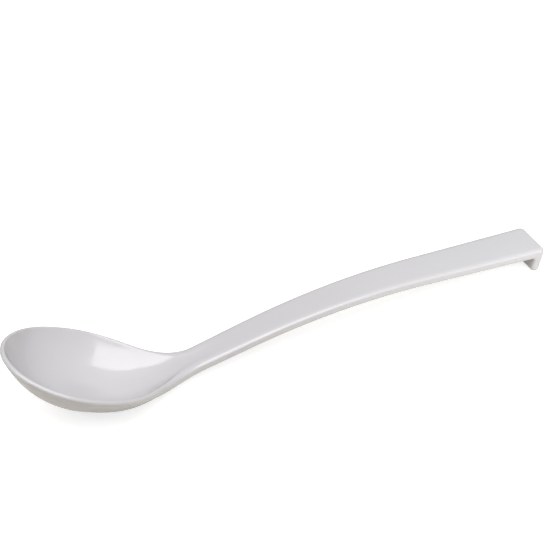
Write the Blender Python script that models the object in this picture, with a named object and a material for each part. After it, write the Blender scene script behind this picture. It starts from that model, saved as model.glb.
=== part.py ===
"""Serving spoon moulded in one piece: a deep bowl, a bent neck, an arched handle and a turned-down hook.

The spoon lies as it rests on a table: on the bowl's underside and on the hook's lower edge.
Lengths are in metres and angles in degrees. X runs from the bowl's tip to the hook, Z is up.
"""

import math

import bmesh
import bpy
import numpy as np
from mathutils import Matrix, Vector

# Outline seen from above
BOWL_FRONT = 0.0349
BOWL_BACK = 0.0612
BOWL_HALF_WIDTH = 0.0289
BACK_FULLNESS = 1.25
NECK_HALF_WIDTH = 0.0069
GRIP_HALF_WIDTH = 0.0102

# Edge line seen from the side, from the bowl's tip to the hook
RIM_RUN = 0.072
NECK_RADIUS = 0.0403
NECK_RISE = 33.4
SHOULDER_RUN = 0.0258
ARCH_RADIUS = 0.357
ARCH_DROP = 14.3
GRIP_RUN = 0.0621

# Hollow of the bowl
HOLLOW_DEPTH = 0.0145
HOLLOW_BACK = 0.054
HOLLOW_FULLNESS = 1.6
HOLLOW_POWER = 2.9
HOLLOW_LEAN = 0.12

# Shallow trough that goes on from the hollow into the handle
TROUGH_DEPTH = 0.0012
TROUGH_BACK = 0.076
TROUGH_FULLNESS = 2.5

# Underside of the bowl
KEEL_BACK = 0.0632
KEEL_FULLNESS = 1.4
UNDERSIDE_POWER = 2.57

# Thicknesses
RIM_THICKNESS = 0.0024
BOWL_WALL = 0.003
NECK_THICKNESS = 0.0057
GRIP_THICKNESS = 0.0043

# Edges: the rim is fully round outside, the handle is flat with rounded edges
RIM_LAND = 0.0001
RIM_BLEND = 0.0004
NECK_BLEND = 0.0014
EDGE_FULLNESS = 5.0
GRIP_TOP_WIDTH = 0.0026
GRIP_TOP_DEPTH = 0.0013
GRIP_BOTTOM_RADIUS = 0.00105

# Hook at the handle's end
HOOK_TURN = 98.5
HOOK_DROP = 0.0122
HOOK_THICKNESS = 0.0045
HOOK_CORNER_RADIUS = 0.0016
HOOK_FILLET_RADIUS = 0.0018
HOOK_OUTER_RADIUS = 0.0026
HOOK_INNER_RADIUS = 0.0017
HOOK_TIP_RADIUS = 0.0016

# Mesh
FRONT_STEPS = 14
BACK_STEPS = 20
HANDLE_STEPS = 20
LEAD_STEPS = 3
CORNER_STEPS = 8
TIP_STEPS = 5
TOP_STEPS = 12
BLEND_STEPS = 2
ROUND_STEPS = 5
UNDERSIDE_STEPS = 10
SLANT_STEP = 1e-5
WELD_DISTANCE = 1e-6

# Search for the turn that lays the spoon down
STEEPEST_TURN = 60.0
HALVINGS = 50

MELAMINE_COLOUR = (0.65, 0.635, 0.635, 1.0)
MELAMINE_ROUGHNESS = 0.14


def ease(share):
    """Smooth step from 0 to 1."""
    return 0.5 - 0.5 * math.cos(math.pi * min(max(share, 0.0), 1.0))


def between(first, second, share):
    return first + (second - first) * share


def spine_runs():
    """Length and curvature of each run of the edge line."""
    return (
        (RIM_RUN, 0.0),
        (NECK_RADIUS * math.radians(NECK_RISE), 1.0 / NECK_RADIUS),
        (SHOULDER_RUN, 0.0),
        (ARCH_RADIUS * math.radians(ARCH_DROP), -1.0 / ARCH_RADIUS),
        (GRIP_RUN, 0.0),
    )


def spine_length():
    return sum(run for run, _ in spine_runs())


def spine_at(length):
    """Side-view place of the edge line at a length along it, with its tangent and its normal."""
    place = np.zeros(2)
    slope = 0.0
    for run, curvature in spine_runs():
        step = min(length, run)
        turn = curvature * step
        heading = slope + turn / 2
        chord = step * np.sinc(turn / (2 * math.pi))
        place = place + chord * np.array((math.cos(heading), math.sin(heading)))
        slope += turn
        length -= step
    tangent = np.array((math.cos(slope), math.sin(slope)))
    normal = np.array((-math.sin(slope), math.cos(slope)))
    return place, tangent, normal


def half_width(length):
    """Half the width behind the bowl's widest place."""
    back = length - BOWL_FRONT
    if back < BOWL_BACK:
        narrowing = ease(max(back / BOWL_BACK, 0.0) ** BACK_FULLNESS)
        return between(BOWL_HALF_WIDTH, NECK_HALF_WIDTH, narrowing)
    along = (back - BOWL_BACK) / (spine_length() - BOWL_FRONT - BOWL_BACK)
    return between(NECK_HALF_WIDTH, GRIP_HALF_WIDTH, along)


def fade_out(length, run_out, fullness):
    """From 1 at the bowl's widest place to 0 where something runs out behind it."""
    share = max(length - BOWL_FRONT, 0.0) / run_out
    return 1.0 - ease(share ** fullness)


def leaning_depth(length):
    """Depth of the bowl before anything runs out; the lean deepens it backwards."""
    return HOLLOW_DEPTH * (1.0 + HOLLOW_LEAN * (length - BOWL_FRONT) / BOWL_FRONT)


def hollow_depth(length):
    """Depth of the hollow on the centre line, which runs out through a shallow trough."""
    hollow = (leaning_depth(length) - TROUGH_DEPTH) * fade_out(length, HOLLOW_BACK, HOLLOW_FULLNESS)
    return hollow + TROUGH_DEPTH * fade_out(length, TROUGH_BACK, TROUGH_FULLNESS)


def keel_depth(length):
    """How far the bowl's underside hangs down on the centre line, without the wall."""
    return leaning_depth(length) * fade_out(length, KEEL_BACK, KEEL_FULLNESS)


def towards_neck(length):
    """0 at the bowl's widest place, 1 at the neck."""
    return ease((length - BOWL_FRONT) / BOWL_BACK)


def centre_thickness(length):
    """Thickness on the centre line: thin in the bowl, thickest in the neck."""
    past_neck = ease((length - BOWL_FRONT - BOWL_BACK) / BOWL_BACK)
    up_to_neck = between(BOWL_WALL, NECK_THICKNESS, towards_neck(length))
    return between(up_to_neck, GRIP_THICKNESS, past_neck)


def half_section(reach, spread, hollow, rise, edge, centre, blend, top_width, top_depth, bottom_radius):
    """Points from the top centre out over the edge and back to the underside's centre.

    Each point is a distance from the centre and a height against the edge line. spread stretches
    the edge's rounding where the section crosses the outline at a slant. rise is how much
    shallower the bowl gets from the section's centre to its edge. A thin edge limits its rounding.
    """
    limit = min(1.0, edge / (top_depth + bottom_radius))
    top_width *= limit * spread
    top_depth *= limit
    bottom_radius *= limit
    blend *= spread
    hollow_reach = reach - top_width - RIM_LAND * spread - blend / 2
    blend_reach = hollow_reach - blend / 2

    def hollow_at(distance):
        """Height and slope of the hollow."""
        depth = hollow - rise * distance / reach
        share = distance / hollow_reach
        slope = depth * HOLLOW_POWER / hollow_reach * share ** (HOLLOW_POWER - 1.0)
        return depth * (share ** HOLLOW_POWER - 1.0), slope

    points = []
    for step in range(TOP_STEPS + 1):
        distance = blend_reach * step / TOP_STEPS
        points.append((distance, hollow_at(distance)[0]))
    height, slope = hollow_at(blend_reach)
    for step in range(1, BLEND_STEPS + 1):
        share = step / BLEND_STEPS
        rounded = (1.0 - share) ** 2 * (height * (1.0 + 2.0 * share) + slope * blend * share)
        points.append((blend_reach + blend * share, rounded))
    for step in range(ROUND_STEPS + 1):
        angle = math.pi / 2 * step / ROUND_STEPS
        points.append((reach - top_width * (1.0 - math.sin(angle)), -top_depth * (1.0 - math.cos(angle))))

    steepness = UNDERSIDE_POWER * (centre - rise - edge) * spread / reach
    last_angle = math.pi / 2 - math.atan(max(steepness, 0.0))
    for step in range(ROUND_STEPS + 1):
        angle = last_angle * step / ROUND_STEPS
        inset = bottom_radius * (1.0 - math.cos(angle))
        points.append((reach - inset * spread, bottom_radius * (1.0 - math.sin(angle)) - edge))
    start_reach, start_height = points[-1]
    for step in range(1, UNDERSIDE_STEPS + 1):
        share = 1.0 - step / UNDERSIDE_STEPS
        depth = centre - rise * share + start_height
        fall = depth * (1.0 - share ** UNDERSIDE_POWER)
        points.append((share * start_reach, start_height - fall))
    return points


def spoon_section(length, reach, spread, forward):
    """Half-section with the thickness and rounding that belong to a length along the edge line.

    forward is how much of its reach lies towards the bowl's tip, as a share of the bowl's front.
    """
    to_grip = towards_neck(length)
    edge = between(RIM_THICKNESS, GRIP_THICKNESS, to_grip)
    blend = between(RIM_BLEND, NECK_BLEND, to_grip)
    top_width = between(RIM_THICKNESS / 2, GRIP_TOP_WIDTH, to_grip**EDGE_FULLNESS)
    top_depth = between(RIM_THICKNESS / 2, GRIP_TOP_DEPTH, to_grip)
    bottom_radius = between(RIM_THICKNESS / 2, GRIP_BOTTOM_RADIUS, to_grip)
    hollow = hollow_depth(length)
    rise = hollow * HOLLOW_LEAN * forward
    centre = keel_depth(length) + centre_thickness(length)
    return half_section(reach, spread, hollow, rise, edge, centre, blend, top_width, top_depth, bottom_radius)


def front_sections():
    """Sections of the bowl's front, fanned out from under its widest place, tip first."""
    sections = []
    for step in range(FRONT_STEPS):
        angle = math.pi / 2 * step / FRONT_STEPS
        ahead = BOWL_FRONT * math.cos(angle)
        aside = BOWL_HALF_WIDTH * math.sin(angle)
        reach = math.hypot(ahead, aside)
        spread = reach * math.hypot(math.cos(angle) / BOWL_FRONT, math.sin(angle) / BOWL_HALF_WIDTH)
        section = []
        for distance, height in spoon_section(BOWL_FRONT, reach, spread, math.cos(angle)):
            share = distance / reach
            section.append((BOWL_FRONT - ahead * share, aside * share, height))
        sections.append(section)
    return sections


def back_section(length):
    """Section square to the edge line, behind the bowl's widest place."""
    width = half_width(length)
    slant = (half_width(length + SLANT_STEP) - half_width(length - SLANT_STEP)) / (2 * SLANT_STEP)
    place, _, normal = spine_at(length)
    section = []
    for distance, height in spoon_section(length, width, math.hypot(1.0, slant), 0.0):
        x, z = place + height * normal
        section.append((x, distance, z))
    return section


def hook_fillet_centre():
    """Centre of the inner fillet, tangent to the grip's underside and to the hook's inner face."""
    turn = math.radians(HOOK_TURN)
    drop = GRIP_THICKNESS + HOOK_FILLET_RADIUS
    inner_face = HOOK_CORNER_RADIUS * (1.0 - math.cos(turn)) - HOOK_THICKNESS
    along = (inner_face - HOOK_FILLET_RADIUS + drop * math.cos(turn)) / math.sin(turn)
    return np.array((along, -drop))


def hook_profile():
    """Outer point, inner point and draw-in of each of the hook's sections, seen from the side.

    The points are in the frame of the handle's end: along the handle, then off its top face.
    """
    turn = math.radians(HOOK_TURN)
    outward = np.array((math.sin(turn), math.cos(turn)))
    downward = np.array((math.cos(turn), -math.sin(turn)))
    corner_centre = np.array((0.0, -HOOK_CORNER_RADIUS))
    fillet_centre = hook_fillet_centre()
    profile = []
    for step in range(1, LEAD_STEPS):
        share = 1.0 - step / LEAD_STEPS
        outer = np.array((2 * share * fillet_centre[0], 0.0))
        inner = np.array(((1.0 + share) * fillet_centre[0], -GRIP_THICKNESS))
        profile.append((outer, inner, 0.0))
    for step in range(CORNER_STEPS + 1):
        angle = turn * step / CORNER_STEPS
        radial = np.array((math.sin(angle), math.cos(angle)))
        outer = corner_centre + HOOK_CORNER_RADIUS * radial
        inner = fillet_centre + HOOK_FILLET_RADIUS * radial
        profile.append((outer, inner, 0.0))
    leg_start = profile[-1][0]
    leg = (HOOK_DROP + leg_start[1]) / math.sin(turn)
    for step in range(TIP_STEPS + 1):
        angle = math.pi / 2 * step / TIP_STEPS
        draw_in = HOOK_TIP_RADIUS * (1.0 - math.cos(angle))
        down = leg - HOOK_TIP_RADIUS * (1.0 - math.sin(angle))
        outer = leg_start + down * downward - draw_in * outward
        inner = leg_start + down * downward - (HOOK_THICKNESS - draw_in) * outward
        profile.append((outer, inner, draw_in))
    return profile


def hook_sections():
    """Sections from the handle's last square one round the corner and down to the hook's tip."""
    place, tangent, normal = spine_at(spine_length())
    profile = hook_profile()
    leg_count = len(profile) - TIP_STEPS - 1
    sections = []
    for count, (outer, inner, draw_in) in enumerate(profile):
        to_leg = ease(count / leg_count)
        top_width = between(GRIP_TOP_WIDTH, HOOK_OUTER_RADIUS, to_leg)
        top_depth = between(GRIP_TOP_DEPTH, HOOK_OUTER_RADIUS, to_leg)
        bottom_radius = between(GRIP_BOTTOM_RADIUS, HOOK_INNER_RADIUS, to_leg)
        thickness = float(np.linalg.norm(inner - outer))
        across = (inner - outer) / thickness
        width = half_width(spine_length() + min(outer[0], 0.0)) - draw_in
        section = []
        for distance, height in half_section(
            width, 1.0, 0.0, 0.0, thickness, thickness, NECK_BLEND, top_width, top_depth, bottom_radius
        ):
            along, off = outer - height * across
            x, z = place + along * tangent + off * normal
            section.append((x, distance, z))
        sections.append(section)
    return sections


def all_sections():
    """Half-sections of the side with positive Y, from the bowl's tip to the hook's tip."""
    neck = BOWL_FRONT + BOWL_BACK
    last_square = spine_length() + 2 * hook_fillet_centre()[0]
    lengths = list(np.linspace(BOWL_FRONT, neck, BACK_STEPS + 1))
    lengths += list(np.linspace(neck, last_square, HANDLE_STEPS + 1)[1:])
    return front_sections() + [back_section(length) for length in lengths] + hook_sections()


def resting_turn(points, lengthwise_split):
    """Angle that brings the lowest points of the bowl and of the hook to one level."""
    bowl = points[points[:, 0] < lengthwise_split]
    hook = points[points[:, 0] >= lengthwise_split]
    low, high = 0.0, math.radians(STEEPEST_TURN)
    for _ in range(HALVINGS):
        middle = (low + high) / 2
        lift = np.array((-math.sin(middle), 0.0, math.cos(middle)))
        if (bowl @ lift).min() < (hook @ lift).min():
            low = middle
        else:
            high = middle
    return (low + high) / 2


def spoon_mesh(sections):
    """Closed mesh from the half-sections of one side and their mirror images."""
    mirrored = [[(x, -y, z) for x, y, z in section] for section in sections[1:]]
    ring = sections[::-1] + mirrored
    build = bmesh.new()
    rows = [[build.verts.new(point) for point in section] for section in ring]
    for row, following in zip(rows, rows[1:]):
        for first in range(len(row) - 1):
            build.faces.new((row[first], row[first + 1], following[first + 1], following[first]))
    build.faces.new(rows[0])
    build.faces.new(rows[-1])
    bmesh.ops.remove_doubles(build, verts=build.verts, dist=WELD_DISTANCE)
    bmesh.ops.recalc_face_normals(build, faces=build.faces)
    bmesh.ops.triangulate(build, faces=build.faces)
    mesh = bpy.data.meshes.new("spoon")
    build.to_mesh(mesh)
    build.free()
    return mesh


def melamine():
    """Glossy off-white moulded plastic."""
    material = bpy.data.materials.new("melamine")
    material.use_nodes = True
    shader = material.node_tree.nodes["Principled BSDF"]
    shader.inputs["Base Color"].default_value = MELAMINE_COLOUR
    shader.inputs["Roughness"].default_value = MELAMINE_ROUGHNESS
    return material


def main():
    for left_over in list(bpy.data.objects):
        bpy.data.objects.remove(left_over)
    sections = all_sections()
    points = np.array([point for section in sections for point in section])
    turn = Matrix.Rotation(resting_turn(points, points[:, 0].max() / 2), 4, "Y")
    mesh = spoon_mesh(sections)
    mesh.transform(turn)
    corners = np.array([vertex.co for vertex in mesh.vertices])
    middle = (corners.min(axis=0) + corners.max(axis=0)) / 2
    mesh.transform(Matrix.Translation(Vector((-middle[0], 0.0, -corners[:, 2].min()))))
    mesh.shade_smooth()
    mesh.materials.append(melamine())
    spoon = bpy.data.objects.new("spoon", mesh)
    bpy.context.scene.collection.objects.link(spoon)


if __name__ == "__main__":
    main()
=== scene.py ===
"""Serving spoon moulded in glossy off-white melamine, with the studio that it is shown in.

Lengths are in metres and angles in radians, unless a name or a comment says otherwise. X runs from
the bowl's tip to the hook, Z is up, and the spoon is the same on both sides of the XZ plane.
"""

import math
from types import SimpleNamespace

import bmesh
import bpy
import numpy as np
from mathutils import Matrix, Vector


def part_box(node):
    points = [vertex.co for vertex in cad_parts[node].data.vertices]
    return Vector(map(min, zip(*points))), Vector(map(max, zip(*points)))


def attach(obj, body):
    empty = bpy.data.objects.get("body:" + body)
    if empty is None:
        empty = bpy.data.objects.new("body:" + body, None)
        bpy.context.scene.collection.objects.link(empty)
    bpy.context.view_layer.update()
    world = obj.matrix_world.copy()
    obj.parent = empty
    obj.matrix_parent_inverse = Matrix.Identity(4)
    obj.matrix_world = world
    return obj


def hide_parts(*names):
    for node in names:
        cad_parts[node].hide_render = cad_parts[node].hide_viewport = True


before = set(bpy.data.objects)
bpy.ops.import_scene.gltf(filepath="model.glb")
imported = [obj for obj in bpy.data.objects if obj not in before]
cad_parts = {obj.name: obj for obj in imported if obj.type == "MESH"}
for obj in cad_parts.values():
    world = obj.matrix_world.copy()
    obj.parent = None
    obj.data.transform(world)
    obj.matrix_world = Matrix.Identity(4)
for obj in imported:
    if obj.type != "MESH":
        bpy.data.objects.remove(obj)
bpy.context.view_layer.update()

bl_info = {
    "name": "Serving spoon",
    "version": (1, 0, 0),
    "blender": (4, 5, 0),
    "location": "3D View > Sidebar > Spoon",
    "description": "A serving spoon moulded in glossy off-white melamine, and its studio",
    "category": "Add Mesh",
}

PIECE = "moulded_spoon"
NODE = "spoon"
BODY = "root"
SLOT = "melamine"
WEAR_ATTRIBUTE = "edge"

# Steps of the mesh along the spoon, zone by zone
FRONT_STEPS = {"turn": 48}
BACK_STEPS = {"bowl": 110, "handle": 150}
HOOK_STEPS = {"lead": 6, "corner": 18, "leg": 6, "tip": 10, "cap": 1}

# Steps of the mesh round half a section, from the top's centre to the underside's centre
SECTION_STEPS = {
    "hollow": 44,
    "blend": 8,
    "land": 3,
    "top_round": 10,
    "side": 2,
    "bottom_round": 10,
    "underside": 30,
}

# Flat grids that are bent into shape, and how their halves and ends are joined
GRID_SIZE = 1.0
OTHER_SIDE = (1.0, -1.0, 1.0)
WELD_DISTANCE = 2e-6

# Step along the edge line over which the outline's slant is measured
SLANT_STEP = 1e-4

# How many times as far from the edge line's end as its fillet's centre the hook's sections start
LEAD_START = 2.0

QUARTER_TURN = math.pi / 2

# Search for the turn that lays the spoon down
STEEPEST_TURN = math.radians(60)
HALVINGS = 50

# Patterns of the finish, each with its repeats over a metre and its layers of finer detail
CLOUDS = (26.0, 3.0)
RUBBING = (420.0, 4.0)
POLISH = (90.0, 2.0)
RIPPLE = (60.0, 1.0)
PEEL = (1400.0, 2.0)
PATTERN_MEAN = 0.5

# Tints of the room and the lamps
WHITE = (1.0, 1.0, 1.0)
CLEAR_WHITE = (0.985, 0.985, 1.0)
COOL_WHITE = (0.93, 0.96, 1.0)

# Brightness of the room that looks white, and power of a white lamp for each square metre of its face
WHITE_LEVEL = 1.0
WHITE_FACE_POWER = 4.0

# Lamps, each with its place, the point that it faces, and the width and height of its face
OVERHEAD_PLACE = (-0.284, -0.2425, 0.97)
OVERHEAD_AIM = (-0.059, 0.0375, 0.0)
OVERHEAD_FACE = (1.6, 1.02)
SIDE_PLACE = (0.145, -0.12, 0.07)
SIDE_AIM = (0.09, 0.0, 0.02)
SIDE_FACE = (0.28, 0.08)
BACK_PLACE = (0.63, 0.8, 0.66)
BACK_AIM = (0.0, 0.0, 0.02)
BACK_FACE = (0.6, 0.3)

# The photograph's frame in pixels, and the camera's sensor in millimetres
FRAME_PIXELS = 550
FOCAL_PIXELS = 2400
SENSOR_WIDTH = 36.0


def length(name, default, description):
    """Property for a size in metres."""
    return bpy.props.FloatProperty(
        name=name, default=default, description=description, precision=5, unit="LENGTH"
    )


def angle(name, degrees, description):
    """Property for an angle, whose default is given in degrees."""
    return bpy.props.FloatProperty(
        name=name, default=math.radians(degrees), description=description, subtype="ANGLE"
    )


def number(name, default, description):
    """Property for a plain number."""
    return bpy.props.FloatProperty(
        name=name, default=default, description=description, precision=4
    )


def colour(name, default, description):
    """Property for a colour."""
    return bpy.props.FloatVectorProperty(
        name=name, default=default, description=description, subtype="COLOR", size=3, min=0.0, max=1.0
    )


class SpoonSizes(bpy.types.PropertyGroup):
    """Sizes of the spoon."""

    bowl_front: length("Bowl front", 0.0349, "From the bowl's widest place to its tip")
    bowl_back: length("Bowl back", 0.0612, "From the bowl's widest place to the neck")
    bowl_half_width: length("Bowl half width", 0.0289, "Half the bowl's greatest width")
    back_fullness: number("Back fullness", 1.25, "How far back the bowl stays wide")
    neck_half_width: length("Neck half width", 0.0069, "Half the width of the neck")
    grip_half_width: length("Grip half width", 0.0102, "Half the width of the handle's end")
    rim_run: length("Rim run", 0.072, "Straight part of the edge line, along the bowl")
    neck_radius: length("Neck radius", 0.0403, "Radius of the bend between bowl and handle")
    neck_rise: angle("Neck rise", 33.4, "Angle of the bend between bowl and handle")
    shoulder_run: length("Shoulder run", 0.0258, "Straight part behind the neck")
    arch_radius: length("Arch radius", 0.357, "Radius of the handle's arch")
    arch_drop: angle("Arch drop", 14.3, "Angle through which the handle arches down")
    grip_run: length("Grip run", 0.0621, "Straight part at the handle's end")
    hollow_depth: length("Hollow depth", 0.0145, "Depth of the bowl under its widest place")
    hollow_back: length("Hollow back", 0.054, "From the widest place to where the hollow runs out")
    hollow_fullness: number("Hollow fullness", 1.6, "How far back the hollow stays deep")
    trough_depth: length("Trough depth", 0.0012, "Depth of the trough that goes on from the hollow")
    trough_back: length("Trough back", 0.076, "From the widest place to where the trough runs out")
    trough_fullness: number("Trough fullness", 2.5, "How far back the trough stays deep")
    edge_fullness: number("Edge fullness", 5.0, "How late the rim turns into the handle's edge")
    keel_back: length("Keel back", 0.0632, "From the widest place to the end of the bowl's underside")
    keel_fullness: number("Keel fullness", 1.4, "How far back the bowl's underside stays deep")
    hollow_power: number("Hollow power", 2.9, "How square the hollow is in section")
    hollow_lean: number("Hollow lean", 0.12, "How much deeper the hollow gets backwards")
    rim_thickness: length("Rim thickness", 0.0024, "Thickness of the bowl's rim")
    bowl_wall: length("Bowl wall", 0.003, "Thickness of the bowl's bottom")
    neck_thickness: length("Neck thickness", 0.0057, "Thickness of the neck")
    grip_thickness: length("Grip thickness", 0.0043, "Thickness of the handle")
    underside_power: number("Underside power", 2.57, "How square the underside is in section")
    rim_land: length("Rim land", 0.0001, "Width of the level strip on the rim")
    rim_blend: length("Rim blend", 0.0004, "Width of the rounding inside the rim")
    neck_blend: length("Neck blend", 0.0014, "Width of the same rounding where it meets the neck")
    grip_top_width: length("Grip top width", 0.0026, "Width of the rounding on the handle's top edges")
    grip_top_depth: length("Grip top depth", 0.0013, "Depth of the rounding on the handle's top edges")
    grip_bottom_radius: length("Grip bottom radius", 0.00105, "Rounding of the handle's lower edges")
    hook_turn: angle("Hook turn", 98.5, "Angle through which the hook turns down")
    hook_drop: length("Hook drop", 0.0122, "Height of the hook, from the handle's top face")
    hook_thickness: length("Hook thickness", 0.0045, "Thickness of the hook")
    hook_corner_radius: length("Hook corner radius", 0.0016, "Outer radius of the hook's bend")
    hook_fillet_radius: length("Hook fillet radius", 0.0018, "Inner radius of the hook's bend")
    hook_outer_radius: length("Hook outer radius", 0.0026, "Rounding of the hook's outer side edges")
    hook_inner_radius: length("Hook inner radius", 0.0017, "Rounding of the hook's inner side edges")
    hook_tip_radius: length("Hook tip radius", 0.0016, "Rounding of the hook's lower edges")
    wear_width: length("Wear width", 0.0022, "How far in from the edges handling has dulled the gloss")


class MelamineFinish(bpy.types.PropertyGroup):
    """Colours and gloss of the melamine."""

    pale: colour("Pale tone", (0.642, 0.626, 0.635), "Colour where the moulding powder is palest")
    deep: colour("Deep tone", (0.62, 0.604, 0.612), "Colour where the moulding powder is deepest")
    worn: colour("Worn edge", (0.655, 0.643, 0.648), "Colour of edges that handling has rubbed")
    gloss: number("Gloss roughness", 0.15, "Roughness of the moulded gloss")
    dulled: number("Worn roughness", 0.22, "Roughness of rubbed edges")
    refraction: number("Refraction", 1.64, "Index of refraction of the resin")
    ripple: length("Ripple", 0.000012, "Height of the slow ripple left by the mould's polish")
    peel: length("Peel", 0.0000006, "Height of the fine grain of the gloss")


class StudioSetup(bpy.types.PropertyGroup):
    """Camera, floor, room and lamps."""

    azimuth: angle("Camera azimuth", -28.1, "Turn of the camera about the upright axis")
    elevation: angle("Camera elevation", 38.25, "Height of the camera above the horizon")
    distance: length("Camera distance", 1.1236, "From the camera to the point it is aimed at")
    aim: bpy.props.FloatVectorProperty(
        name="Aim",
        default=(0.0198, 0.0453, 0.0),
        description="Point on the floor that the camera is aimed at",
        subtype="XYZ",
        unit="LENGTH",
        size=3,
    )
    floor_half_width: length("Floor half width", 6.0, "Half the width of the floor")
    floor_colour: colour("Floor colour", (0.72, 0.685, 0.62), "Colour of the floor under the lamps")
    floor_glow: number("Floor glow", 0.25, "Glow that makes the floor pale to the camera and the gloss")
    camera_glow: number("Camera glow", 0.47, "Further glow for the camera alone, near the spoon")
    clear_glow: number("Clear glow", 0.8, "The same glow on the far floor, which it makes plain white")
    clear_start: length("Clear start", 0.3, "From the spoon to where the floor starts to whiten")
    clear_end: length("Clear end", 0.8, "From the spoon to where the floor is plain white")
    glow_colour: colour("Glow colour", (0.96, 0.98, 1.0), "Colour of the glow, for a neutral shadow")
    room_level: number("Room level", 0.02, "Brightness of the unlit room around the spoon")
    overhead_level: number("Overhead softbox", 2.32, "Brightness of the large softbox overhead")
    side_level: number("Side card", 1.72, "Brightness of the low card beside the handle")
    back_level: number("Back card", 0.18, "Brightness of the card behind the handle")


class Field:
    """A number that a node tree works out at every point. Arithmetic on it adds Math nodes."""

    def __init__(self, tree, socket):
        self.tree = tree
        self.socket = socket

    def math_node(self, operation, *values):
        node = self.tree.nodes.new("ShaderNodeMath")
        node.operation = operation
        for socket, value in zip(node.inputs, values):
            feed(self.tree, socket, value)
        return Field(self.tree, node.outputs["Value"])

    def __add__(self, other):
        return self.math_node("ADD", self, other)

    def __radd__(self, other):
        return self.math_node("ADD", other, self)

    def __sub__(self, other):
        return self.math_node("SUBTRACT", self, other)

    def __rsub__(self, other):
        return self.math_node("SUBTRACT", other, self)

    def __mul__(self, other):
        return self.math_node("MULTIPLY", self, other)

    def __rmul__(self, other):
        return self.math_node("MULTIPLY", other, self)

    def __truediv__(self, other):
        return self.math_node("DIVIDE", self, other)

    def __pow__(self, other):
        return self.math_node("POWER", self, other)

    def __neg__(self):
        return self.math_node("MULTIPLY", self, -1.0)

    def sin(self):
        return self.math_node("SINE", self)

    def cos(self):
        return self.math_node("COSINE", self)

    def atan(self):
        return self.math_node("ARCTANGENT", self)

    def root(self):
        return self.math_node("SQRT", self)

    def at_least(self, low):
        return self.math_node("MAXIMUM", self, low)

    def at_most(self, high):
        return self.math_node("MINIMUM", self, high)

    def held(self, low, high):
        return self.at_least(low).at_most(high)


def feed(tree, socket, value):
    """Gives a socket its value: a link from a field or another socket, or a constant."""
    if isinstance(value, Field):
        tree.links.new(value.socket, socket)
    elif isinstance(value, bpy.types.NodeSocket):
        tree.links.new(value, socket)
    else:
        socket.default_value = value


def add_node(tree, kind, settings=None, **values):
    """Adds a node with its settings, and feeds its sockets by name, with underscores for spaces.

    Where several sockets have one name, the first is fed.
    """
    node = tree.nodes.new(kind)
    for name, value in (settings or {}).items():
        setattr(node, name, value)
    sockets = {
        socket.name.replace(" ", "_").lower(): socket
        for socket in reversed(node.inputs)
        if socket.enabled
    }
    for name, value in values.items():
        feed(tree, sockets[name], value)
    return node


def new_tree(name, inputs, outputs):
    """New geometry node tree, with a field for each of its inputs."""
    tree = bpy.data.node_groups.new(name, "GeometryNodeTree")
    for label, kind in inputs.items():
        tree.interface.new_socket(label, in_out="INPUT", socket_type=kind)
    for label, kind in outputs.items():
        tree.interface.new_socket(label, in_out="OUTPUT", socket_type=kind)
    source = tree.nodes.new("NodeGroupInput")
    return tree, {label: Field(tree, source.outputs[label]) for label in inputs}


def ease(share):
    """Smooth step from 0 to 1."""
    return (1.0 - (share.held(0.0, 1.0) * math.pi).cos()) / 2.0


def between(first, second, share):
    """Value that lies a share of the way from the first to the second."""
    return first + (second - first) * share


def diagonal(first, second):
    """Length of a line from its two parts at right angles to each other."""
    return (first * first + second * second).root()


def zone_shares(along, steps):
    """How much of each zone lies behind a place along a grid, from 0 to 1."""
    total = sum(steps.values())
    shares = {}
    start = 0
    for name, count in steps.items():
        shares[name] = (along * (total / count) - start / count).held(0.0, 1.0)
        start += count
    return SimpleNamespace(**shares)


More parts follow.
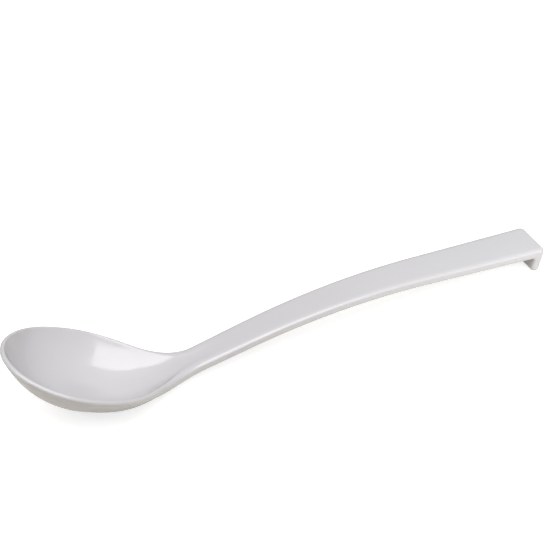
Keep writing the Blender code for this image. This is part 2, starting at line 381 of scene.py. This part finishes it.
def section_group():
    """Node group for half a section, from the top's centre over the edge to the underside's centre.

    It gives a distance from the centre and a height against the edge line. Spread stretches the edge's
    rounding where the section crosses the outline at a slant. Rise is how much shallower the bowl gets
    from the section's centre to its edge.
    """
    labels = (
        "around", "reach", "spread", "hollow", "rise", "edge", "centre", "top_width", "top_depth",
        "bottom_radius", "blend", "rim_land", "hollow_power", "underside_power",
    )
    inputs = {label: "NodeSocketFloat" for label in labels}
    outputs = {label: "NodeSocketFloat" for label in ("distance", "height")}
    tree, fields = new_tree("spoon_section", inputs, outputs)
    given = SimpleNamespace(**fields)
    zone = zone_shares(given.around, SECTION_STEPS)

    # A thin edge limits both of its roundings
    limit = (given.edge / (given.top_depth + given.bottom_radius)).at_most(1.0)
    top_width = given.top_width * limit * given.spread
    top_depth = given.top_depth * limit
    bottom_radius = given.bottom_radius * limit

    # The hollow, the cubic blend that levels it out, and the land on the rim
    blend = given.blend * given.spread
    land = given.rim_land * given.spread
    hollow_reach = given.reach - top_width - land - blend / 2.0
    blend_reach = hollow_reach - blend / 2.0
    hollow_distance = blend_reach * zone.hollow
    share = hollow_distance / hollow_reach
    depth = given.hollow - given.rise * hollow_distance / given.reach
    hollow_height = depth * (share ** given.hollow_power - 1.0)
    climb = depth * given.hollow_power / hollow_reach * share ** (given.hollow_power - 1.0)
    left = 1.0 - zone.blend
    distance = hollow_distance + blend * zone.blend + land * zone.land
    height = left * left * (hollow_height * (1.0 + 2.0 * zone.blend) + climb * blend * zone.blend)

    # The rounded upper edge, and the side under it
    turned = zone.top_round * QUARTER_TURN
    distance += top_width * turned.sin()
    height -= top_depth * (1.0 - turned.cos())
    height -= (given.edge - top_depth - bottom_radius) * zone.side

    # The rounded lower edge, which turns as far as the slope at which the underside starts
    fall = given.centre - given.rise - given.edge
    steepness = (given.underside_power * fall * given.spread / given.reach).at_least(0.0)
    last_turn = QUARTER_TURN - steepness.atan()
    turned = last_turn * zone.bottom_round
    distance -= bottom_radius * given.spread * (1.0 - turned.cos())
    height -= bottom_radius * turned.sin()

    # The underside
    start_reach = given.reach - bottom_radius * given.spread * (1.0 - last_turn.cos())
    start_height = bottom_radius * (1.0 - last_turn.sin()) - given.edge
    left = 1.0 - zone.underside
    distance -= start_reach * zone.underside
    deepest = given.centre - given.rise * left + start_height
    height -= deepest * (1.0 - left ** given.underside_power)

    add_node(tree, "NodeGroupOutput", distance=distance, height=height)
    return tree


def half_section(tree, group, sizes, **given):
    """Distance and height of half a section that has the spoon's own land and powers."""
    node = add_node(
        tree, "GeometryNodeGroup", {"node_tree": group}, rim_land=sizes.rim_land,
        hollow_power=sizes.hollow_power, underside_power=sizes.underside_power, **given,
    )
    return Field(tree, node.outputs["distance"]), Field(tree, node.outputs["height"])


def spine_runs(sizes):
    """Length and radius of each run of the edge line, from the bowl's tip to the hook."""
    return (
        (sizes.rim_run, None),
        (sizes.neck_radius * sizes.neck_rise, sizes.neck_radius),
        (sizes.shoulder_run, None),
        (sizes.arch_radius * sizes.arch_drop, -sizes.arch_radius),
        (sizes.grip_run, None),
    )


def spine_length(sizes):
    """Length of the whole edge line."""
    return sum(run for run, _ in spine_runs(sizes))


def spine_at(sizes, along):
    """Side-view place of the edge line at a length along it, and its slope there."""
    x = z = slope = along * 0.0
    for run, radius in spine_runs(sizes):
        step = along.held(0.0, run)
        if radius is None:
            x += step * slope.cos()
            z += step * slope.sin()
        else:
            ahead = slope + step / radius
            x += radius * (ahead.sin() - slope.sin())
            z += radius * (slope.cos() - ahead.cos())
            slope = ahead
        along -= run
    return x, z, slope


def half_width(sizes, along):
    """Half the width behind the bowl's widest place."""
    back = along - sizes.bowl_front
    narrowing = ease((back / sizes.bowl_back).held(0.0, 1.0) ** sizes.back_fullness)
    handle = spine_length(sizes) - sizes.bowl_front - sizes.bowl_back
    widening = ((back - sizes.bowl_back) / handle).at_least(0.0)
    width = between(sizes.bowl_half_width, sizes.neck_half_width, narrowing)
    return width + (sizes.grip_half_width - sizes.neck_half_width) * widening


def fade_out(back, run_out, fullness):
    """From 1 at the bowl's widest place to 0 where something runs out behind it."""
    return 1.0 - ease((back / run_out).held(0.0, 1.0) ** fullness)


def grid_zone(tree, steps):
    """Flat grid over one zone of the spoon, with its places along the zone and round the section."""
    grid = add_node(
        tree, "GeometryNodeMeshGrid", size_x=GRID_SIZE, size_y=GRID_SIZE,
        vertices_x=sum(steps.values()) + 1, vertices_y=sum(SECTION_STEPS.values()) + 1,
    )
    place = add_node(tree, "GeometryNodeInputPosition")
    parts = add_node(tree, "ShaderNodeSeparateXYZ", vector=place.outputs["Position"])
    along = Field(tree, parts.outputs["X"]) + GRID_SIZE / 2.0
    around = Field(tree, parts.outputs["Y"]) + GRID_SIZE / 2.0
    return grid.outputs["Mesh"], zone_shares(along, steps), around


def shaped(tree, mesh, sizes, inset, x, y, z):
    """Grid moved to its shape, with how worn it is near its edges kept as an attribute."""
    worn = 1.0 - (inset / sizes.wear_width).held(0.0, 1.0)
    kept = add_node(
        tree, "GeometryNodeStoreNamedAttribute", geometry=mesh, name=WEAR_ATTRIBUTE, value=worn
    )
    place = add_node(tree, "ShaderNodeCombineXYZ", x=x, y=y, z=z)
    moved = add_node(
        tree, "GeometryNodeSetPosition", geometry=kept.outputs["Geometry"],
        position=place.outputs["Vector"],
    )
    return moved.outputs["Geometry"]


def bowl_front_mesh(tree, group, sizes):
    """Front of the bowl, whose sections fan out from under its widest place, tip first."""
    mesh, zone, around = grid_zone(tree, FRONT_STEPS)
    turned = zone.turn * QUARTER_TURN
    ahead = sizes.bowl_front * turned.cos()
    aside = sizes.bowl_half_width * turned.sin()
    reach = diagonal(ahead, aside)
    slant = diagonal(turned.cos() / sizes.bowl_front, turned.sin() / sizes.bowl_half_width)
    rim_radius = sizes.rim_thickness / 2.0
    distance, height = half_section(
        tree, group, sizes, around=around, reach=reach, spread=reach * slant,
        hollow=sizes.hollow_depth,
        rise=sizes.hollow_depth * sizes.hollow_lean * turned.cos(),
        blend=sizes.rim_blend,
        edge=sizes.rim_thickness,
        centre=sizes.hollow_depth + sizes.bowl_wall,
        top_width=rim_radius,
        top_depth=rim_radius,
        bottom_radius=rim_radius,
    )
    share = distance / reach
    return shaped(
        tree, mesh, sizes, reach - distance, sizes.bowl_front - ahead * share, aside * share, height
    )


def back_and_handle_mesh(tree, group, sizes, last_square):
    """Back of the bowl, neck and handle, in sections square to the edge line."""
    mesh, zone, around = grid_zone(tree, BACK_STEPS)
    neck = sizes.bowl_front + sizes.bowl_back
    along = sizes.bowl_front + sizes.bowl_back * zone.bowl + (last_square - neck) * zone.handle
    back = along - sizes.bowl_front
    width = half_width(sizes, along)
    widening = half_width(sizes, along + SLANT_STEP) - half_width(sizes, along - SLANT_STEP)
    slant = widening / (2.0 * SLANT_STEP)
    to_neck = ease(back / sizes.bowl_back)
    to_edge = to_neck ** sizes.edge_fullness
    past_neck = ease((along - neck) / sizes.bowl_back)
    up_to_neck = between(sizes.bowl_wall, sizes.neck_thickness, to_neck)
    deepest = sizes.hollow_depth * (1.0 + sizes.hollow_lean * back / sizes.bowl_front)
    bowl = (deepest - sizes.trough_depth) * fade_out(back, sizes.hollow_back, sizes.hollow_fullness)
    trough = sizes.trough_depth * fade_out(back, sizes.trough_back, sizes.trough_fullness)
    keel = deepest * fade_out(back, sizes.keel_back, sizes.keel_fullness)
    rim_radius = sizes.rim_thickness / 2.0
    distance, height = half_section(
        tree, group, sizes, around=around, reach=width, spread=diagonal(slant, 1.0),
        hollow=bowl + trough,
        rise=0.0,
        blend=between(sizes.rim_blend, sizes.neck_blend, to_neck),
        edge=between(sizes.rim_thickness, sizes.grip_thickness, to_neck),
        centre=keel + between(up_to_neck, sizes.grip_thickness, past_neck),
        top_width=between(rim_radius, sizes.grip_top_width, to_edge),
        top_depth=between(rim_radius, sizes.grip_top_depth, to_neck),
        bottom_radius=between(rim_radius, sizes.grip_bottom_radius, to_neck),
    )
    x, z, slope = spine_at(sizes, along)
    return shaped(
        tree, mesh, sizes, width - distance, x - height * slope.sin(), distance,
        z + height * slope.cos(),
    )


def fillet_along(sizes):
    """Where the hook's inner fillet has its centre, along the handle from the end of the edge line."""
    drop = sizes.grip_thickness + sizes.hook_fillet_radius
    inner_face = sizes.hook_corner_radius * (1.0 - sizes.hook_turn.cos()) - sizes.hook_thickness
    inner_centre = inner_face - sizes.hook_fillet_radius
    return (inner_centre + drop * sizes.hook_turn.cos()) / sizes.hook_turn.sin()


def hook_mesh(tree, group, sizes):
    """Hook, in sections that turn round its corner and run down to its rounded tip.

    Each section joins an outer point to an inner one. Both are given along the handle from the end of
    the edge line, and off the handle's top face.
    """
    mesh, zone, around = grid_zone(tree, HOOK_STEPS)
    fillet = fillet_along(sizes)
    outer_lead = fillet * between(LEAD_START, 0.0, zone.lead)
    inner_lead = fillet * between(LEAD_START, 1.0, zone.lead)
    turned = sizes.hook_turn * zone.corner
    outer_along = outer_lead + sizes.hook_corner_radius * turned.sin()
    outer_off = sizes.hook_corner_radius * (turned.cos() - 1.0)
    inner_along = inner_lead + sizes.hook_fillet_radius * turned.sin()
    inner_off = sizes.hook_fillet_radius * (turned.cos() - 1.0) - sizes.grip_thickness

    # The leg's length down, and how far the rounded tip draws the section in
    down_along = sizes.hook_turn.cos()
    down_off = -sizes.hook_turn.sin()
    out_along = sizes.hook_turn.sin()
    out_off = sizes.hook_turn.cos()
    corner_drop = sizes.hook_corner_radius * (1.0 - out_off)
    leg = (sizes.hook_drop - corner_drop) / out_along - sizes.hook_tip_radius
    rounding = zone.tip * QUARTER_TURN
    down = leg * zone.leg + sizes.hook_tip_radius * rounding.sin()
    draw_in = sizes.hook_tip_radius * (1.0 - rounding.cos())

    # From the end of the inner fillet to the point across from the end of the outer corner
    inner_reach = sizes.hook_corner_radius - sizes.hook_thickness - sizes.hook_fillet_radius
    inner_drop = sizes.grip_thickness + sizes.hook_fillet_radius * (1.0 - out_off)
    gap_along = inner_reach * out_along - fillet
    gap_off = inner_drop - corner_drop - sizes.hook_thickness * out_off
    outer_along += down * down_along - draw_in * out_along
    outer_off += down * down_off - draw_in * out_off
    inner_along += down * down_along + draw_in * out_along + gap_along * zone.leg
    inner_off += down * down_off + draw_in * out_off + gap_off * zone.leg

    across_along = inner_along - outer_along
    across_off = inner_off - outer_off
    thickness = diagonal(across_along, across_off)
    to_leg = ease((zone.lead + zone.corner) / 2.0)
    width = half_width(sizes, spine_length(sizes) + outer_lead) - draw_in
    distance, height = half_section(
        tree, group, sizes, around=around, reach=width, spread=1.0,
        hollow=0.0,
        rise=0.0,
        blend=sizes.neck_blend,
        edge=thickness,
        centre=thickness,
        top_width=between(sizes.grip_top_width, sizes.hook_outer_radius, to_leg),
        top_depth=between(sizes.grip_top_depth, sizes.hook_outer_radius, to_leg),
        bottom_radius=between(sizes.grip_bottom_radius, sizes.hook_inner_radius, to_leg),
    )
    inset = (width - distance).at_most(sizes.hook_drop + outer_off)

    # The last step closes the tip with a flat face
    distance *= 1.0 - zone.cap
    height = between(height, -thickness / 2.0, zone.cap)
    along = outer_along - height * across_along / thickness
    off = outer_off - height * across_off / thickness
    x, z, slope = spine_at(sizes, spine_length(sizes))
    return shaped(
        tree, mesh, sizes, inset, x + along * slope.cos() - off * slope.sin(), distance,
        z + along * slope.sin() + off * slope.cos(),
    )


def spoon_tree():
    """Node tree of the whole spoon, with an input for its material and one for each of its sizes."""
    names = list(SpoonSizes.__annotations__)
    inputs = {SLOT: "NodeSocketMaterial"}
    inputs.update({name: "NodeSocketFloat" for name in names})
    tree, fields = new_tree("spoon_shape", inputs, {"spoon": "NodeSocketGeometry"})
    sizes = SimpleNamespace(**{name: fields[name] for name in names})
    group = section_group()
    last_square = spine_length(sizes) + LEAD_START * fillet_along(sizes)
    half = add_node(tree, "GeometryNodeJoinGeometry")
    for mesh in (
        bowl_front_mesh(tree, group, sizes),
        back_and_handle_mesh(tree, group, sizes, last_square),
        hook_mesh(tree, group, sizes),
    ):
        tree.links.new(mesh, half.inputs["Geometry"])
    mirrored = add_node(
        tree, "GeometryNodeTransform", geometry=half.outputs["Geometry"], scale=OTHER_SIDE
    )
    flipped = add_node(tree, "GeometryNodeFlipFaces", mesh=mirrored.outputs["Geometry"])
    whole = add_node(tree, "GeometryNodeJoinGeometry")
    tree.links.new(half.outputs["Geometry"], whole.inputs["Geometry"])
    tree.links.new(flipped.outputs["Mesh"], whole.inputs["Geometry"])
    welded = add_node(
        tree, "GeometryNodeMergeByDistance", geometry=whole.outputs["Geometry"],
        distance=WELD_DISTANCE,
    )
    smooth = add_node(tree, "GeometryNodeSetShadeSmooth", geometry=welded.outputs["Geometry"])
    real = add_node(tree, "GeometryNodeRealizeInstances", geometry=smooth.outputs["Geometry"])
    painted = add_node(
        tree, "GeometryNodeSetMaterial", geometry=real.outputs["Geometry"], material=fields[SLOT]
    )
    add_node(tree, "NodeGroupOutput", spoon=painted.outputs["Geometry"])
    return tree


def plain_mesh(tree, values):
    """Mesh that a node tree gives for the values of its named inputs."""
    holder = bpy.data.objects.new("holder", bpy.data.meshes.new("holder"))
    bpy.context.scene.collection.objects.link(holder)
    modifier = holder.modifiers.new("shape", "NODES")
    modifier.node_group = tree
    for item in tree.interface.items_tree:
        if item.in_out == "INPUT":
            modifier[item.identifier] = values[item.name]
    graph = bpy.context.evaluated_depsgraph_get()
    shape = holder.evaluated_get(graph)
    mesh = bpy.data.meshes.new_from_object(shape, preserve_all_data_layers=True, depsgraph=graph)
    holder.modifiers.remove(modifier)
    bpy.data.objects.remove(holder)
    # The first slot is the holder's own, which is empty
    mesh.materials.pop(index=0)
    return mesh


def face_outwards(mesh):
    """Turns the front of every face outwards."""
    build = bmesh.new()
    build.from_mesh(mesh)
    bmesh.ops.recalc_face_normals(build, faces=build.faces)
    build.to_mesh(mesh)
    build.free()


def corners(mesh):
    """All points of a mesh, one in each row."""
    points = np.empty(len(mesh.vertices) * 3)
    mesh.vertices.foreach_get("co", points)
    return points.reshape(-1, 3)


def resting_turn(points):
    """Angle that brings the lowest points of the bowl and of the hook to one level."""
    middle_x = points[:, 0].max() / 2
    bowl = points[points[:, 0] < middle_x]
    hook = points[points[:, 0] >= middle_x]
    low = 0.0
    high = STEEPEST_TURN
    for _ in range(HALVINGS):
        middle = (low + high) / 2
        lift = np.array((-math.sin(middle), 0.0, math.cos(middle)))
        if (bowl @ lift).min() < (hook @ lift).min():
            low = middle
        else:
            high = middle
    return (low + high) / 2


def lay_down(mesh):
    """Turns the spoon until it rests on its bowl and its hook, in the place that the frame gives it."""
    mesh.transform(Matrix.Rotation(resting_turn(corners(mesh)), 4, "Y"))
    points = corners(mesh)
    lowest = points.min(axis=0)
    middle = (lowest + points.max(axis=0)) / 2
    low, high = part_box(NODE)
    shift = Vector(((low.x + high.x) / 2 - middle[0], 0.0, low.z - lowest[2]))
    mesh.transform(Matrix.Translation(shift))


def opaque(tint):
    """Colour with its fourth channel, as shader sockets take it."""
    return (*tint, 1.0)


def melamine_material(finish):
    """Glossy moulded melamine: faintly clouded, with a slow ripple in the gloss and rubbed edges."""
    material = bpy.data.materials.new(SLOT)
    material.use_nodes = True
    tree = material.node_tree
    shader = tree.nodes["Principled BSDF"]
    place = add_node(tree, "ShaderNodeTexCoord").outputs["Object"]
    wear = add_node(tree, "ShaderNodeAttribute", {"attribute_name": WEAR_ATTRIBUTE})

    def noise(pattern):
        scale, detail = pattern
        node = add_node(tree, "ShaderNodeTexNoise", vector=place, scale=scale, detail=detail)
        return Field(tree, node.outputs["Fac"])

    def mixed(share, first, second):
        node = add_node(
            tree, "ShaderNodeMix", {"data_type": "RGBA"}, factor=share, a=first, b=second
        )
        return next(socket for socket in node.outputs if socket.enabled)

    rubbed = Field(tree, wear.outputs["Fac"]) * noise(RUBBING)
    clouds = mixed(noise(CLOUDS), opaque(finish.deep), opaque(finish.pale))
    feed(tree, shader.inputs["Base Color"], mixed(rubbed, clouds, opaque(finish.worn)))
    polish = noise(POLISH) / PATTERN_MEAN * finish.gloss
    feed(tree, shader.inputs["Roughness"], between(polish, finish.dulled, rubbed))
    shader.inputs["IOR"].default_value = finish.refraction
    ripple = add_node(
        tree, "ShaderNodeBump", strength=1.0, distance=finish.ripple, height=noise(RIPPLE)
    )
    peel = add_node(
        tree, "ShaderNodeBump", strength=1.0, distance=finish.peel, height=noise(PEEL),
        normal=ripple.outputs["Normal"],
    )
    feed(tree, shader.inputs["Normal"], peel.outputs["Normal"])
    return material


def seen_rays(tree):
    """1 for rays from the camera, and 1 for those and what gloss and glass send on, otherwise 0."""
    path = add_node(tree, "ShaderNodeLightPath")
    camera, gloss, glass = (
        Field(tree, path.outputs[kind])
        for kind in ("Is Camera Ray", "Is Glossy Ray", "Is Transmission Ray")
    )
    return camera, (camera + gloss + glass).at_most(1.0)


def floor_material(studio):
    """Matt floor, pale to the gloss, and white to the camera with the spoon's shadow on it.

    Its glow for the camera grows away from the spoon, so that the far floor is plain white.
    """
    material = bpy.data.materials.new("studio_floor")
    material.use_nodes = True
    tree = material.node_tree
    tree.nodes.remove(tree.nodes["Principled BSDF"])
    matt = add_node(tree, "ShaderNodeBsdfDiffuse", color=opaque(studio.floor_colour))
    camera, seen = seen_rays(tree)
    place = add_node(tree, "ShaderNodeTexCoord").outputs["Object"]
    span = add_node(tree, "ShaderNodeVectorMath", {"operation": "LENGTH"}, vector=place)
    away = Field(tree, span.outputs["Value"])
    clear = ((away - studio.clear_start) / (studio.clear_end - studio.clear_start)).held(0.0, 1.0)
    camera_glow = between(studio.camera_glow, studio.clear_glow, clear)
    strength = seen * studio.floor_glow + camera * camera_glow
    glow = add_node(
        tree, "ShaderNodeEmission", color=opaque(studio.glow_colour), strength=strength
    )
    both = add_node(tree, "ShaderNodeAddShader")
    for shader, socket in zip((matt.outputs["BSDF"], glow.outputs["Emission"]), both.inputs):
        tree.links.new(shader, socket)
    tree.links.new(both.outputs["Shader"], tree.nodes["Material Output"].inputs["Surface"])
    return material


def make_floor(studio):
    """Level floor under the spoon."""
    half = studio.floor_half_width
    mesh = bpy.data.meshes.new("studio_floor")
    ends = ((-half, -half, 0.0), (half, -half, 0.0), (half, half, 0.0), (-half, half, 0.0))
    mesh.from_pydata(ends, [], [(0, 1, 2, 3)])
    mesh.materials.append(floor_material(studio))
    floor = bpy.data.objects.new("studio_floor", mesh)
    bpy.context.scene.collection.objects.link(floor)


def make_room(studio):
    """Room all round, white to the camera, gloss and glass, and almost dark as a light on the spoon."""
    world = bpy.data.worlds.new("white_room")
    world.use_nodes = True
    tree = world.node_tree
    _, seen = seen_rays(tree)
    background = tree.nodes["Background"]
    feed(tree, background.inputs["Color"], opaque(WHITE))
    feed(tree, background.inputs["Strength"], between(studio.room_level, WHITE_LEVEL, seen))
    bpy.context.scene.world = world


def make_lamp(name, place, aim, face, level, tint, mirrored=True):
    """Softbox or card whose face has the given brightness, where 1 is white.

    The camera does not see it, and gloss shows it only if it is mirrored.
    """
    lamp = bpy.data.lights.new(name, "AREA")
    lamp.shape = "RECTANGLE"
    lamp.size, lamp.size_y = face
    lamp.energy = level * WHITE_FACE_POWER * lamp.size * lamp.size_y
    lamp.color = tint
    holder = bpy.data.objects.new(name, lamp)
    holder.location = place
    holder.rotation_euler = (Vector(aim) - Vector(place)).to_track_quat("-Z", "Y").to_euler()
    holder.visible_camera = False
    holder.visible_glossy = mirrored
    bpy.context.scene.collection.objects.link(holder)


def make_lamps(studio):
    """Large softbox overhead, a low card beside the handle, and a card behind it."""
    make_lamp(
        "overhead_softbox", OVERHEAD_PLACE, OVERHEAD_AIM, OVERHEAD_FACE, studio.overhead_level,
        CLEAR_WHITE,
    )
    make_lamp(
        "side_card", SIDE_PLACE, SIDE_AIM, SIDE_FACE, studio.side_level, COOL_WHITE, mirrored=False
    )
    make_lamp("back_card", BACK_PLACE, BACK_AIM, BACK_FACE, studio.back_level, COOL_WHITE)


def make_camera(studio):
    """Camera at the photograph's viewing angle."""
    flat = math.cos(studio.elevation)
    back = Vector((
        math.sin(studio.azimuth) * flat,
        -math.cos(studio.azimuth) * flat,
        math.sin(studio.elevation),
    ))
    camera = bpy.data.cameras.new("camera")
    camera.sensor_width = SENSOR_WIDTH
    camera.lens = SENSOR_WIDTH * FOCAL_PIXELS / FRAME_PIXELS
    holder = bpy.data.objects.new("camera", camera)
    holder.location = Vector(studio.aim) + back * studio.distance
    holder.rotation_euler = (-back).to_track_quat("-Z", "Y").to_euler()
    bpy.context.scene.collection.objects.link(holder)
    bpy.context.scene.camera = holder


class SPOON_OT_spoon(bpy.types.Operator):
    """Make the spoon, from the bowl's tip to the hook's tip, where the frame has it"""

    bl_idname = "serving_spoon.make_spoon"
    bl_label = "Make spoon"

    def execute(self, context):
        sizes = context.scene.spoon_sizes
        values = {name: getattr(sizes, name) for name in SpoonSizes.__annotations__}
        values[SLOT] = melamine_material(context.scene.melamine_finish)
        mesh = plain_mesh(spoon_tree(), values)
        mesh.name = NODE
        face_outwards(mesh)
        lay_down(mesh)
        spoon = bpy.data.objects.new(PIECE, mesh)
        context.scene.collection.objects.link(spoon)
        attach(spoon, BODY)
        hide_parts(NODE)
        return {"FINISHED"}


class SPOON_OT_stage(bpy.types.Operator):
    """Set up the white studio: floor, room, lamps and camera"""

    bl_idname = "serving_spoon.set_stage"
    bl_label = "Set stage"

    def execute(self, context):
        studio = context.scene.spoon_studio
        make_floor(studio)
        make_room(studio)
        make_lamps(studio)
        make_camera(studio)
        context.scene.view_settings.view_transform = "Standard"
        return {"FINISHED"}


class SPOON_PT_panel(bpy.types.Panel):
    """Sizes, finish and studio of the spoon"""

    bl_idname = "SPOON_PT_panel"
    bl_label = "Serving spoon"
    bl_space_type = "VIEW_3D"
    bl_region_type = "UI"
    bl_category = "Spoon"

    def draw(self, context):
        groups = (
            (context.scene.spoon_sizes, SPOON_OT_spoon.bl_idname),
            (context.scene.melamine_finish, None),
            (context.scene.spoon_studio, SPOON_OT_stage.bl_idname),
        )
        for group, operator in groups:
            box = self.layout.box()
            for name in group.__annotations__:
                box.prop(group, name)
            if operator:
                box.operator(operator)


CLASSES = (SpoonSizes, MelamineFinish, StudioSetup, SPOON_OT_spoon, SPOON_OT_stage, SPOON_PT_panel)


def register():
    for each in CLASSES:
        bpy.utils.register_class(each)
    bpy.types.Scene.spoon_sizes = bpy.props.PointerProperty(type=SpoonSizes)
    bpy.types.Scene.melamine_finish = bpy.props.PointerProperty(type=MelamineFinish)
    bpy.types.Scene.spoon_studio = bpy.props.PointerProperty(type=StudioSetup)


def unregister():
    del bpy.types.Scene.spoon_studio
    del bpy.types.Scene.melamine_finish
    del bpy.types.Scene.spoon_sizes
    for each in reversed(CLASSES):
        bpy.utils.unregister_class(each)


def main():
    register()
    bpy.ops.serving_spoon.make_spoon()
    bpy.ops.serving_spoon.set_stage()


if __name__ == "__main__":
    main()
